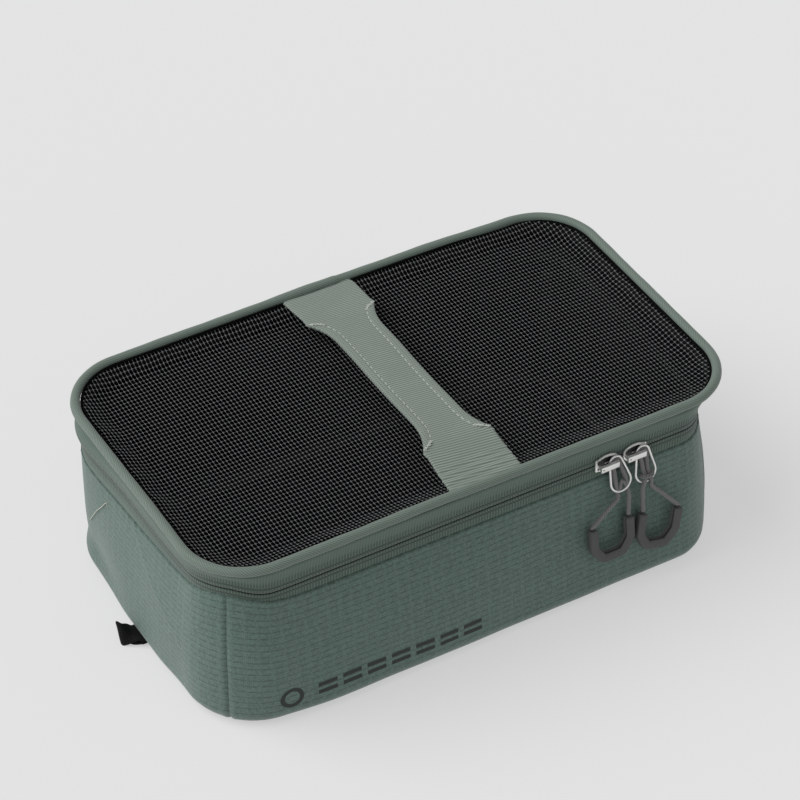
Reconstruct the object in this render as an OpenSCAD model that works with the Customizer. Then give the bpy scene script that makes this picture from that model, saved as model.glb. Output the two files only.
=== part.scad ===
// Packing cube: a soft rectangular zip-round bag with a mesh lid and a webbing handle.
// Millimetres, +Z up. Origin: centre of the footprint, on the surface the cube stands on.
// +X runs along the length to the zipper pulls' end, and -Y is the front.

/* [Rim] */
// Length of the rim, between the piping's centre lines
rim_l = 300; // [260:1:340]
// Width of the rim, between the piping's centre lines
rim_w = 174; // [150:1:200]
// Corner radius of the piping's centre line
rim_r = 34; // [28:1:44]
// Height of the piping's centre line above the floor
rim_h = 103.5; // [100:0.5:110]
// Diameter of the covered piping
piping_d = 5.2; // [4:0.1:6]

/* [Walls] */
// Thickness of the fabric walls and base
wall_t = 1.2; // [0.8:0.1:2]
// How far the walls belly out past the rim's centre line
belly = 2.5; // [1:0.5:5]
// Radius of the rolled bottom edge
foot_r = 8; // [6:0.5:12]
// Height of the seam between the walls and the zipper tape
wall_top = 76; // [74:0.5:77]

/* [Zipper] */
// Height of the zipper's slit line
chain_h = 83; // [82:0.5:84]
// How far the zipper sits inside the rim's centre line
zip_inset = 3.3; // [3:0.1:5]
// Thickness of the zipper tape and of the binding tapes
tape_t = 0.8; // [0.6:0.1:1]
// Width of the open slit between the two tapes
slit = 1.2; // [1:0.1:1.6]
// Diameter of each zipper coil
coil_d = 1.6; // [1.2:0.1:1.8]
// How far round the back corners the zipper runs
zip_end = 60; // [50:1:70]

/* [Sliders] */
// Centre of the left and of the right slider along the front
slider_x = [71, 87]; // [-110:1:110]
// Length of a slider body along the zipper
slider_l = 14; // [12:0.5:15]
// Height of a slider body across the zipper
slider_h = 10.4; // [9:0.1:11]
// Thickness of a slider plate
plate_t = 0.9; // [0.7:0.1:1.2]

/* [Pulls] */
// Diameter of the ring's wire
ring_wire = 1.3; // [1:0.1:1.5]
// Forward lean of the hanging rings, in degrees
ring_lean = 11; // [6:1:12]
// Sideways tilt of the left and of the right ring, in degrees
ring_tilt = [10, 4]; // [0:1:12]
// Forward lean of the hanging cords and grips, in degrees
pull_lean = 8; // [7:1:12]
// Diameter of the pull cord
cord_d = 2.4; // [2:0.1:2.6]
// Centre of the left and of the right grip along the front
grip_x = [70, 99.5]; // [40:0.5:112]
// Outside width of a grip
grip_w = 26.4; // [22:0.1:26.5]
// Height of a grip
grip_h = 21.5; // [20:0.5:24]
// Thickness of a grip, front to back
grip_t = 4.7; // [4:0.1:5]
// How far each grip hangs below its ring, left and right
grip_top = [17, 21]; // [15:0.5:23]
// How far each grip is turned in its own plane, right arm down, in degrees
grip_turn = [0, 12]; // [0:1:14]

/* [Handle] */
// Width of the handle webbing at the rim
handle_w = 40; // [36:1:42]
// Width of its middle, where the edges are folded under
handle_neck_w = 27; // [24:1:30]
// Thickness of the handle
handle_t = 1.6; // [1.2:0.1:2]
// How far the handle's middle rises above its ends
handle_rise = 4; // [3:0.5:6]

/* [Mesh] */
// How far the mesh dips below its edge
mesh_dip = 4.3; // [3:0.1:6]
// Width of the sloping border of the mesh
mesh_slope = 13.2; // [10:0.1:16]

/* [Side loop] */
// Width of the black webbing loop
loop_w = 16; // [12:1:20]
// How far the loop reaches from its hinge line
loop_l = 11; // [9:0.5:13]
// Thickness of its webbing
loop_t = 1.4; // [1:0.1:1.6]
// Middle of the loop along the left side
loop_y = -3; // [-20:1:20]

/* [Hidden] */
$fn = 48;

// Sides, counted anticlockwise from above. Corner k joins side k to the next one.
RIGHT = 0;
BACK = 1;
LEFT = 2;
FRONT = 3;

LEFT_PULL = 0;
RIGHT_PULL = 1;

green = [0.36, 0.43, 0.40];
light_green = [0.44, 0.50, 0.46];
dark_green = [0.26, 0.31, 0.29];
black = [0.08, 0.08, 0.09];
grey = [0.27, 0.27, 0.28];
silver = [0.78, 0.78, 0.78];
thread = [0.72, 0.74, 0.70];

zip_o = -zip_inset;               // outer face of the zipper, outward from the rim line
roll_o = belly - foot_r;          // where the flat base meets the rolled edge
fit = 0.1;                        // play between pieces of one body
clear = 0.4;                      // play between pieces that move past each other
low_edge = chain_h - slit / 2;    // upper edge of the lower tape
high_edge = chain_h + slit / 2;   // lower edge of the upper tape
coil_o = zip_o - tape_t - coil_d / 2 - fit;
gusset_top = rim_h - piping_d / 2 - 0.3;
gusset_bend = chain_h + 7;        // the upper tape stands straight to here, past the sliders
mesh_edge_o = -piping_d / 2 - 0.2;
mesh_low = rim_h - 1.3 - mesh_dip;
binding_w = 8;
tab_angle = 6;                    // width of a zipper end tab, round its corner

/* ---- Sweeping a section round the rim ---- */

function side_distance(k) = (k % 2 == 0 ? rim_l : rim_w) / 2;
function side_run(k) = (k % 2 == 0 ? rim_w : rim_l) - 2 * rim_r;
function corner_centre(k) = [
    (k == 0 || k == 3 ? 1 : -1) * (rim_l / 2 - rim_r),
    (k < 2 ? 1 : -1) * (rim_w / 2 - rim_r)
];

// A section is drawn with x outward from the rim line and y upward.
module along_side(k)
    rotate([90, 0, 90 * k]) linear_extrude(side_run(k), center = true)
        translate([side_distance(k), 0]) children();

module turn(angle)
    rotate_extrude(angle = angle, $fn = 96) translate([rim_r, 0]) children();

// The stretch of corner k next to side k, and the stretch next to the following side
module corner_head(k, angle = 90)
    translate(corner_centre(k)) rotate([0, 0, 90 * k]) turn(angle) children();
module corner_tail(k, angle)
    translate(corner_centre(k)) rotate([0, 0, 90 * (k + 1)]) mirror([0, 1, 0])
        turn(angle) children();

// A piece of corner k that joins neither side
module corner_part(k, from, to)
    translate(corner_centre(k)) rotate([0, 0, 90 * k + from]) turn(to - from) children();

module all_round()
    for (k = [0:3]) {
        along_side(k) children();
        corner_head(k) children();
    }

// Front and both short sides, and part of each back corner
module zipper_run() {
    for (k = [RIGHT, LEFT, FRONT]) along_side(k) children();
    for (k = [LEFT, FRONT]) corner_head(k) children();
    corner_head(RIGHT, zip_end) children();
    corner_tail(BACK, zip_end) children();
}

// The stretch of the back that the zipper leaves closed
module hinge_run(tab) {
    along_side(BACK) children();
    corner_tail(RIGHT, 90 - zip_end - tab) children();
    corner_head(BACK, 90 - zip_end - tab) children();
}

module rim_plate(outward, thickness) {
    l = rim_l + 2 * outward;
    w = rim_w + 2 * outward;
    r = rim_r + outward;
    linear_extrude(thickness) union() {
        square([l - 2 * r, w], center = true);
        square([l, w - 2 * r], center = true);
        for (sx = [-1, 1], sy = [-1, 1])
            translate([sx * (l / 2 - r), sy * (w / 2 - r)]) circle(r, $fn = 96);
    }
}

/* ---- Body ---- */

// How far the wall's outer face stands outward at height z
function wall_o(z) = belly - (belly - zip_o) * pow((z - foot_r) / (wall_top - foot_r), 2);

function roll_points(r) = [
    for (a = [-90:15:-15]) [roll_o + r * cos(a), foot_r + r * sin(a)]
];
function wall_points(inset, from, to, steps = 8) = [
    for (i = [0:steps]) let (z = from + (to - from) * i / steps) [wall_o(z) - inset, z]
];
function reversed(list) = [for (i = [len(list) - 1:-1:0]) list[i]];

module wall_section()
    polygon(concat(
        roll_points(foot_r), wall_points(0, foot_r, wall_top),
        reversed(wall_points(wall_t, foot_r, wall_top)), reversed(roll_points(foot_r - wall_t))
    ));

// One wall: its straight side and half of the corner at either end
module wall_panel(k)
    color(green) {
        along_side(k) wall_section();
        corner_head(k, 45) wall_section();
        corner_tail((k + 3) % 4, 45) wall_section();
    }

module bottom_panel() color(green) rim_plate(roll_o, wall_t);

module bottom_seam_binding()
    color(black) all_round()
        translate([roll_o - binding_w, wall_t]) square([binding_w, tape_t]);

module seam_binding(k) {
    half_angle = 7;
    color(black) corner_part(k, 45 - half_angle, 45 + half_angle)
        polygon(concat(
            wall_points(wall_t + fit, foot_r + 2, wall_top),
            reversed(wall_points(wall_t + fit + tape_t, foot_r + 2, wall_top))
        ));
}

module lower_zipper_tape()
    color(dark_green) zipper_run()
        translate([zip_o - tape_t, wall_top]) square([tape_t, low_edge - wall_top]);

module zipper_coil(z)
    color(dark_green) zipper_run() translate([coil_o, z]) circle(d = coil_d, $fn = 24);

module hinge_strip_lower()
    color(green) hinge_run(tab_angle)
        translate([zip_o - tape_t, wall_top]) square([tape_t, low_edge - wall_top]);

module zipper_end_tab(k) {
    from = k == RIGHT ? zip_end : 90 - zip_end - tab_angle;
    color(dark_green) corner_part(k, from, from + tab_angle)
        translate([zip_o - tape_t, wall_top]) square([tape_t + 0.5, low_edge - wall_top]);
}

/* ---- Lid ---- */

module piping_cord()
    color(light_green) all_round()
        translate([0, rim_h]) circle(d = piping_d - 2 * wall_t - 2 * fit, $fn = 24);

module piping_cover()
    color(light_green) all_round()
        translate([0, rim_h]) difference() {
            circle(d = piping_d, $fn = 32);
            circle(d = piping_d - 2 * wall_t, $fn = 32);
        }

module rim_seam_binding()
    color(black) all_round()
        translate([zip_o - 2 * tape_t, gusset_top - 6]) square([tape_t, 6]);

module gusset_section(low)
    polygon([
        [zip_o, low], [zip_o, gusset_bend], [-0.6, gusset_top],
        [-0.6 - tape_t, gusset_top], [zip_o - tape_t, gusset_bend], [zip_o - tape_t, low]
    ]);

module upper_zipper_tape() color(dark_green) zipper_run() gusset_section(high_edge);

module hinge_strip_upper() color(green) hinge_run(0.5) gusset_section(high_edge);

module mesh_panel()
    color(black) {
        all_round() polygon([
            [mesh_edge_o, rim_h - 1.3], [mesh_edge_o, rim_h - 1.3 + tape_t],
            [mesh_edge_o - mesh_slope, mesh_low + tape_t], [mesh_edge_o - mesh_slope, mesh_low]
        ]);
        translate([0, 0, mesh_low]) rim_plate(mesh_edge_o - mesh_slope, tape_t);
    }

handle_half = rim_w / 2 - piping_d / 2 - 0.6;   // half of the handle's length
handle_end_h = rim_h + 0.6;                     // underside of its ends
neck_half = 44;                                 // half of the narrow part's length
neck_flare = 14;                                // length over which it widens

function handle_underside(y) = handle_end_h + handle_rise * cos(90 * y / handle_half);

module handle_webbing() {
    steps = 16;
    ys = [for (i = [0:steps]) handle_half * (2 * i / steps - 1)];
    color(light_green) intersection() {
        rotate([90, 0, 90]) linear_extrude(handle_w, center = true)
            polygon(concat(
                [for (y = ys) [y, handle_underside(y)]],
                [for (y = reversed(ys)) [y, handle_underside(y) + handle_t]]
            ));
        translate([0, 0, handle_end_h - 5]) linear_extrude(20)
            polygon(concat(handle_edge(1), reversed(handle_edge(-1))));
    }
}

function handle_edge(s) = [
    [s * handle_w / 2, -handle_half],
    [s * handle_w / 2, -neck_half - neck_flare],
    [s * handle_neck_w / 2, -neck_half],
    [s * handle_neck_w / 2, neck_half],
    [s * handle_w / 2, neck_half + neck_flare],
    [s * handle_w / 2, handle_half]
];

module handle_bartacks() {
    y = neck_half + neck_flare / 2;
    color(thread) for (sx = [-1, 1], sy = [-1, 1])
        translate([sx * (handle_neck_w / 2 - 1), sy * y, handle_underside(y) + handle_t + 0.3])
            cube([5, 1.6, 0.5], center = true);
}

/* ---- Sliders and pulls ---- */

tape_y = -(rim_w / 2 + zip_o);                  // outer face of the front zipper tape
plate_front = tape_y - clear - plate_t;
plate_back = tape_y + tape_t + 2 * fit + coil_d + clear;
bar_l = 10.6;
bar_h = 2.8;
bar_t = 1.2;
tunnel = 2.5;                                   // room under the crown's bar
foot_w = 1.2;
bar_shift = -0.7;                               // middle of the bar from the slider's middle

module slider_plate(y)
    translate([0, y + plate_t, chain_h]) rotate([90, 0, 0]) linear_extrude(plate_t)
        intersection() {
            square([slider_l, slider_h], center = true);
            circle(d = slider_l + 1.6);
        }

module slider_body(p)
    color(silver) translate([slider_x[p], 0, 0]) {
        slider_plate(plate_front);
        slider_plate(plate_back);
        translate([-1.5, plate_front, chain_h - slit / 4])
            cube([3, plate_back + plate_t - plate_front, slit / 2]);
    }

// A low bridge over the plate. The ring hangs on its right foot.
module slider_crown(p)
    color(silver) translate([slider_x[p] + bar_shift, 0, chain_h]) {
        translate([-bar_l / 2, plate_front - tunnel - bar_t, -bar_h / 2])
            cube([bar_l, bar_t, bar_h]);
        for (s = [-1, 1])
            translate([s * (bar_l - foot_w) / 2 - foot_w / 2, plate_front - tunnel, -0.8])
                cube([foot_w, tunnel, 1.6]);
    }

ring_top_r = 3.6;
ring_low_r = 5.8;
ring_span = 12.0;                               // between the centres of its two arcs
bite = 0.3;                                     // how far a straight wire runs into an arc
ring_y = plate_front - 1.4;
ring_z = chain_h - 0.6;
ring_reach = ring_span + ring_low_r;
function ring_x(p) = slider_x[p] + bar_shift + bar_l / 2 - foot_w / 2;

// Ring's own frame: origin at the middle of its top arc, hanging down -Z in the plane y = 0
module in_ring_frame(p)
    translate([ring_x(p), ring_y, ring_z]) rotate([-ring_lean, 0, 0])
        rotate([0, -ring_tilt[p], 0]) children();

module wire_arc(r, from, to, wire)
    rotate([90, 0, 0]) rotate([0, 0, from]) rotate_extrude(angle = to - from)
        translate([r, 0]) circle(d = wire, $fn = 24);

module pull_ring(p) {
    slope = asin((ring_low_r - ring_top_r) / ring_span);
    color(silver) in_ring_frame(p) {
        wire_arc(ring_top_r, slope, 180 - slope, ring_wire);
        translate([0, 0, -ring_span]) wire_arc(ring_low_r, 180 - slope, 360 + slope, ring_wire);
        for (s = [-1, 1])
            translate([s * ring_top_r * cos(slope), 0, ring_top_r * sin(slope)])
                rotate([0, 180 - s * slope, 0]) translate([0, 0, -bite])
                    cylinder(h = ring_span * cos(slope) + 2 * bite, d = ring_wire - 0.04, $fn = 24);
    }
}

// The wraps of cord round the ring's lower end
module pull_cord_hitch(p)
    color(grey) in_ring_frame(p) translate([0, 0, -ring_span])
        rotate([90, 0, 0]) rotate([0, 0, 245]) rotate_extrude(angle = 50)
            translate([ring_low_r, 0]) difference() {
                circle(d = 3.8, $fn = 24);
                circle(d = ring_wire + fit, $fn = 24);
            }

// The pull swings about the ring's lowest wire.
function pull_x(p) = ring_x(p) + ring_reach * sin(ring_tilt[p]);
function pull_y(p) = ring_y - ring_reach * cos(ring_tilt[p]) * sin(ring_lean);
function pull_z(p) = ring_z - ring_reach * cos(ring_tilt[p]) * cos(ring_lean);

// Pull's own frame: origin on the ring's lowest wire, hanging down -Z in the plane y = 0
module in_pull_frame(p)
    translate([pull_x(p), pull_y(p), pull_z(p)]) rotate([-pull_lean, 0, 0]) children();

leg_start = 3.4;                                // below the ring's wire
leg_spread = 1.8;
leg_clear = 0.5;                                // a slanting leg's end stays off its arm's rim
arm_w = 5;
socket_d = cord_d + 2 * fit;
socket_deep = 3;
function grip_shift(p) = grip_x[p] - pull_x(p);
function arm_top(p, s) = [
    grip_shift(p) + s * (grip_w - arm_w) / 2 * cos(grip_turn[p]), 0,
    -grip_top[p] - s * (grip_w - arm_w) / 2 * sin(grip_turn[p])
];

module rod(a, b, d) {
    v = b - a;
    translate(a) rotate([0, acos(v[2] / norm(v)), atan2(v[1], v[0])])
        cylinder(h = norm(v), d = d, $fn = 24);
}

module pull_cord_legs(p)
    color(grey) in_pull_frame(p) for (s = [-1, 1])
        rod([s * leg_spread, 0, -leg_start], arm_top(p, s) + [0, 0, leg_clear], cord_d);

module pull_grip(p) {
    half = grip_w / 2;
    inner = half - arm_w;
    chamfer = 7;
    color(grey) in_pull_frame(p) translate([grip_shift(p), 0, -grip_top[p] - fit])
        rotate([0, grip_turn[p], 0]) difference() {
            rotate([90, 0, 0]) linear_extrude(grip_t, center = true) polygon([
                [-half, 0], [-half, chamfer - grip_h], [chamfer - half, -grip_h],
                [half - chamfer, -grip_h], [half, chamfer - grip_h], [half, 0],
                [inner, 0], [inner, arm_w + 4 - grip_h], [inner - 4, arm_w - grip_h],
                [4 - inner, arm_w - grip_h], [-inner, arm_w + 4 - grip_h], [-inner, 0]
            ]);
            for (s = [-1, 1])
                translate([s * (half - arm_w / 2), 0, -socket_deep])
                    cylinder(h = socket_deep + 1, d = socket_d, $fn = 24);
        }
}

/* ---- Side loop ---- */

loop_x = -(rim_l / 2 + belly) - 0.4;            // hinge line of the loop
loop_h = 7.6;

module loop_section(inset) {
    root = 1.4 - inset;
    half = loop_h / 2 - inset;
    tip = -loop_l + inset;
    polygon([
        [-inset, -root], [-4, -half], [tip + 2, -half], [tip, -half + 2],
        [tip, half - 2], [tip + 2, half], [-4, half], [-inset, root]
    ]);
}

module side_loop()
    color(black) translate([loop_x, loop_y, loop_h / 2]) rotate([90, 0, 0])
        linear_extrude(loop_w, center = true) difference() {
            loop_section(0);
            loop_section(loop_t);
        }

bottom_panel();
wall_panel(FRONT);  // front_panel
wall_panel(BACK);  // back_panel
wall_panel(LEFT);  // left_panel
wall_panel(RIGHT);  // right_panel
bottom_seam_binding();
seam_binding(RIGHT);  // seam_binding_back_right
seam_binding(BACK);  // seam_binding_back_left
seam_binding(LEFT);  // seam_binding_front_left
seam_binding(FRONT);  // seam_binding_front_right
lower_zipper_tape();
zipper_coil(low_edge - coil_d / 2);  // lower_zipper_coil
hinge_strip_lower();
zipper_end_tab(BACK);  // zipper_end_tab_left
zipper_end_tab(RIGHT);  // zipper_end_tab_right
mesh_panel();
piping_cord();
piping_cover();
rim_seam_binding();
upper_zipper_tape();
zipper_coil(high_edge + coil_d / 2);  // upper_zipper_coil
hinge_strip_upper();
handle_webbing();
handle_bartacks();
slider_body(LEFT_PULL);  // slider_body_left
slider_crown(LEFT_PULL);  // slider_crown_left
pull_ring(LEFT_PULL);  // pull_ring_left
pull_cord_hitch(LEFT_PULL);  // pull_cord_hitch_left
pull_cord_legs(LEFT_PULL);  // pull_cord_legs_left
pull_grip(LEFT_PULL);  // pull_grip_left
slider_body(RIGHT_PULL);  // slider_body_right
slider_crown(RIGHT_PULL);  // slider_crown_right
pull_ring(RIGHT_PULL);  // pull_ring_right
pull_cord_hitch(RIGHT_PULL);  // pull_cord_hitch_right
pull_cord_legs(RIGHT_PULL);  // pull_cord_legs_right
pull_grip(RIGHT_PULL);  // pull_grip_right
side_loop();
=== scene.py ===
"""Looks of the packing cube: fabric walls, zipper, piping, mesh lid, handle, corded pulls and loop.

Shapes are worked out in millimetres in the row frame and scaled to metres when a mesh is made.
"""

import math

import bpy
import numpy as np
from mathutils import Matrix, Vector

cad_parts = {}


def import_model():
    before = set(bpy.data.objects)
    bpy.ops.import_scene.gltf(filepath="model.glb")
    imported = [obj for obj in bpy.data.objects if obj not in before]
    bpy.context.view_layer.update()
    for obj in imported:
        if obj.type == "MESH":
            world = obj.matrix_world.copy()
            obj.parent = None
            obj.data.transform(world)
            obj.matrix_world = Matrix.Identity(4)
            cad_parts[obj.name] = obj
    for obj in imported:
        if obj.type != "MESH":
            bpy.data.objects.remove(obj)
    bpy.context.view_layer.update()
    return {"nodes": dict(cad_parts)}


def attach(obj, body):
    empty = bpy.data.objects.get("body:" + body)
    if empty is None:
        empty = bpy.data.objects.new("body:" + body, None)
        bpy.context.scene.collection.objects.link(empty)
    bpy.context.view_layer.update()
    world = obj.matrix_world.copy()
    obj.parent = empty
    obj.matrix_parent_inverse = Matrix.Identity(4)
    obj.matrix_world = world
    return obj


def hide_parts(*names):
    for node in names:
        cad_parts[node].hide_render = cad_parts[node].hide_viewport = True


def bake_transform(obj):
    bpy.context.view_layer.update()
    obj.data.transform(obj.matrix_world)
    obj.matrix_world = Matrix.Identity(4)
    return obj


MM = 0.001

# Rim line, the piping's centre: a rounded rectangle walked anticlockwise from the middle of the back
RIM_L, RIM_W, RIM_R, RIM_H = 300.0, 174.0, 34.0, 103.5
HALF_L, HALF_W = RIM_L / 2 - RIM_R, RIM_W / 2 - RIM_R
CORNER = RIM_R * math.pi / 2
STARTS = np.cumsum([0, HALF_L, CORNER, 2 * HALF_W, CORNER, 2 * HALF_L, CORNER, 2 * HALF_W, CORNER])
ROUND = STARTS[-1] + HALF_L
BACK_LEFT, FRONT_LEFT, FRONT_RIGHT, BACK_RIGHT = STARTS[[1, 3, 5, 7]] + CORNER / 2
FRONT_START, FRONT_END = STARTS[4], STARTS[5]

PIPING_R = 2.6
BELLY, FOOT_R, WALL_T = 2.5, 8.0, 0.8
ZIP_O = -3.3            # outer face of the zipper tapes, outward from the rim line
SLIT_H = 83.0
SLIT_HALF = 0.25
TAPE_T = 0.8
WALL_TOP = 75.0
ROLL = FOOT_R * math.pi / 2             # the way up the rounded foot
WALL_LENGTH = ROLL + WALL_TOP - FOOT_R  # the way up the whole wall
ZIP_FROM, ZIP_TO = 133.8, 755.8

SLIDER_X = {"left": 71.0, "right": 87.0}
PLATE_FRONT, PLATE_BACK, PLATE_T = -85.0, -80.7, 0.9
RING_AT = {"left": (75.0, -86.4, 82.4), "right": (91.0, -86.4, 82.4)}
RING_TILT = {"left": 10.0, "right": 4.0}
RING_LEAN, PULL_LEAN = 11.0, 8.0
RING_TOP_R, RING_LOW_R, RING_SPAN, RING_WIRE_R = 3.6, 5.8, 12.0, 0.65
GRIP_X = {"left": 70.0, "right": 99.5}
GRIP_TOP = {"left": 17.0, "right": 21.0}
GRIP_TURN = {"left": 0.0, "right": 12.0}
GRIP_W, GRIP_H, GRIP_T, ARM_W = 26.4, 21.5, 4.7, 5.0
CORD_R = 1.15


# ---------- small maths ----------


def smooth(x, low, high):
    t = np.clip((np.asarray(x, float) - low) / (high - low), 0, 1)
    return t * t * (3 - 2 * t)


def bump(x, middle, width):
    return np.exp(-(((np.asarray(x, float) - middle) / width) ** 2))


def unit(vectors):
    return vectors / np.linalg.norm(vectors, axis=-1, keepdims=True)


def crossed(rows, cols):
    """A grid of pairs, one for every row value with every column value."""
    return np.stack(np.broadcast_arrays(np.asarray(rows)[:, None], np.asarray(cols)[None, :]), -1)


def rim_point(s, o=0.0):
    """x, y and the outward direction at s along the rim line, o millimetres outward from it."""
    s, o = np.broadcast_arrays(np.asarray(s, float) % ROUND, np.asarray(o, float))
    x, y, nx, ny = (np.zeros(s.shape) for _ in range(4))
    runs = {
        0: (0.0, 87.0, -1, 0),
        2: (-150.0, HALF_W, 0, -1),
        4: (-HALF_L, -87.0, 1, 0),
        6: (150.0, -HALF_W, 0, 1),
        8: (HALF_L, 87.0, -1, 0),
    }
    corners = {1: (-1, 1, 90), 3: (-1, -1, 180), 5: (1, -1, 270), 7: (1, 1, 0)}
    at = np.searchsorted(STARTS, s, side="right") - 1
    for k, (x0, y0, dx, dy) in runs.items():
        m = at == k
        d = s[m] - STARTS[k]
        nx[m], ny[m] = dy, -dx
        x[m] = x0 + dx * d + dy * o[m]
        y[m] = y0 + dy * d - dx * o[m]
    for k, (sx, sy, first) in corners.items():
        m = at == k
        a = np.radians(first) + (s[m] - STARTS[k]) / RIM_R
        nx[m], ny[m] = np.cos(a), np.sin(a)
        x[m] = sx * HALF_L + (RIM_R + o[m]) * nx[m]
        y[m] = sy * HALF_W + (RIM_R + o[m]) * ny[m]
    return x, y, nx, ny


def on_rim(s, o, z):
    x, y, _, _ = rim_point(s, o)
    return np.stack(np.broadcast_arrays(x, y, np.asarray(z, float)), -1)


def turned(points, x_deg=0.0, y_deg=0.0):
    """Points turned about Y and then about X."""
    p = np.asarray(points, float)
    b, a = math.radians(y_deg), math.radians(x_deg)
    ry = np.array([[math.cos(b), 0, math.sin(b)], [0, 1, 0], [-math.sin(b), 0, math.cos(b)]])
    rx = np.array([[1, 0, 0], [0, math.cos(a), -math.sin(a)], [0, math.sin(a), math.cos(a)]])
    return p @ (rx @ ry).T


def resample(points, step):
    """The polyline's points again, evenly spaced."""
    p = np.asarray(points, float)
    d = np.r_[0, np.cumsum(np.linalg.norm(np.diff(p, axis=0), axis=1))]
    t = np.linspace(0, d[-1], max(2, int(round(d[-1] / step)) + 1))
    return np.stack([np.interp(t, d, p[:, i]) for i in range(3)], 1)


def curve_through(points, step=0.4):
    """A smooth line through the points (Catmull-Rom)."""
    p = np.asarray(points, float)
    p = np.vstack([2 * p[0] - p[1], p, 2 * p[-1] - p[-2]])
    out = []
    for a, b, c, d in zip(p, p[1:], p[2:], p[3:]):
        t = np.linspace(0, 1, 24, endpoint=False)[:, None]
        out.append(
            0.5 * (2 * b + (c - a) * t + (2 * a - 5 * b + 4 * c - d) * t**2
                   + (3 * b - a - 3 * c + d) * t**3)
        )
    return resample(np.vstack([*out, p[-2:-1]]), step)


# ---------- meshes ----------


def make(name, points, faces, materials, body=None, uv=None, face_material=None, smooth_shade=True):
    """A mesh object from points in millimetres. uv is per point, in millimetres."""
    mesh = bpy.data.meshes.new(name)
    mesh.from_pydata((np.asarray(points) * MM).tolist(), [], [list(map(int, f)) for f in faces])
    for m in materials:
        mesh.materials.append(m)
    if uv is not None:
        index = np.zeros(len(mesh.loops), np.int32)
        mesh.loops.foreach_get("vertex_index", index)
        layer = mesh.uv_layers.new(name="Cloth")
        layer.data.foreach_set("uv", np.asarray(uv, np.float32)[index].ravel())
    if face_material is not None:
        mesh.polygons.foreach_set("material_index", np.asarray(face_material, np.int32))
    mesh.polygons.foreach_set("use_smooth", np.full(len(mesh.polygons), smooth_shade))
    mesh.update()
    obj = bpy.data.objects.new(name, mesh)
    bpy.context.scene.collection.objects.link(obj)
    if body:
        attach(obj, body)
    return obj


def give_points(obj, name, values):
    """A number on each point, for its material to read."""
    layer = obj.data.attributes.new(name, "FLOAT", "POINT")
    layer.data.foreach_set("value", np.asarray(values).astype(np.float32))


def grid_faces(rows, cols, start=0, close_rows=False, close_cols=False, flip=False):
    i = np.arange(rows if close_rows else rows - 1)
    j = np.arange(cols if close_cols else cols - 1)
    a, b = np.meshgrid(i, j, indexing="ij")
    a2, b2 = (a + 1) % rows, (b + 1) % cols
    f = np.stack([a * cols + b, a2 * cols + b, a2 * cols + b2, a * cols + b2], -1).reshape(-1, 4)
    return (f[:, ::-1] if flip else f) + start


def shell(outer, inner, uv):
    """Points, faces, uv and a side number per face (0 outside, 1 inside and edges) of a closed shell."""
    rows, cols = outer.shape[:2]
    n = rows * cols
    ids = np.arange(n).reshape(rows, cols)
    loop = np.concatenate([ids[0, :-1], ids[:-1, -1], ids[-1, :0:-1], ids[:0:-1, 0]])
    nxt = np.roll(loop, -1)
    edge = np.stack([loop, loop + n, nxt + n, nxt], 1)
    faces = np.vstack([grid_faces(rows, cols), grid_faces(rows, cols, n, flip=True), edge[:, ::-1]])
    outside = (rows - 1) * (cols - 1)
    side = np.r_[np.zeros(outside, int), np.ones(len(faces) - outside, int)]
    points = np.vstack([outer.reshape(-1, 3), inner.reshape(-1, 3)])
    flat = uv.reshape(-1, 2)
    return points, faces, np.vstack([flat, flat]), side


def tube(line, radius, sides=10, closed=False, squash=1.0, up=None):
    """Points, faces and uv of a round sweep along a line. Open ends are rounded off."""
    line = np.asarray(line, float)
    radius = np.broadcast_to(np.asarray(radius, float), len(line)).copy()
    if not closed:
        first, last = line[0] - line[1], line[-1] - line[-2]
        first, last = first / np.linalg.norm(first), last / np.linalg.norm(last)
        caps = [(0.95, 0.3), (0.6, 0.75), (0.08, 1.0)]
        line = np.vstack(
            [line[0] + first * radius[0] * out for _, out in caps[::-1]]
            + [line] + [line[-1] + last * radius[-1] * out for _, out in caps]
        )
        radius = np.r_[
            [radius[0] * r for r, _ in caps[::-1]], radius, [radius[-1] * r for r, _ in caps]
        ]
    if closed:
        tangent = np.roll(line, -1, 0) - np.roll(line, 1, 0)
    else:
        tangent = np.gradient(line, axis=0)
    tangent = unit(tangent)
    side = np.zeros_like(line)
    seed = np.array(up if up is not None else (0.0, 1.0, 0.0))
    if up is None and abs(tangent[0] @ seed) > 0.9:
        seed = np.array((1.0, 0.0, 0.0))
    for i, t in enumerate(tangent):
        seed = seed - (seed @ t) * t
        seed = seed / np.linalg.norm(seed)
        side[i] = seed
        if up is not None:
            seed = np.array(up, float)
    other = np.cross(tangent, side)
    a = np.linspace(0, 2 * math.pi, sides, endpoint=False)
    ring = (
        line[:, None]
        + radius[:, None, None] * squash * np.cos(a)[None, :, None] * side[:, None]
        + radius[:, None, None] * np.sin(a)[None, :, None] * other[:, None]
    )
    n = len(line)
    faces = list(grid_faces(n, sides, close_rows=closed, close_cols=True, flip=True))
    if not closed:
        faces.append(list(range(sides)))
        faces.append(list(range((n - 1) * sides, n * sides))[::-1])
    d = np.r_[0, np.cumsum(np.linalg.norm(np.diff(line, axis=0), axis=1))]
    uv = crossed(d, a * radius.max())
    return ring.reshape(-1, 3), faces, uv.reshape(-1, 2)


def join(parts):
    """Several (points, faces, uv) as one."""
    points, faces, uv, start = [], [], [], 0
    for p, f, t in parts:
        points.append(p)
        uv.append(t)
        faces += [[int(i) + start for i in face] for face in f]
        start += len(p)
    return np.vstack(points), faces, np.vstack(uv)


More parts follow.
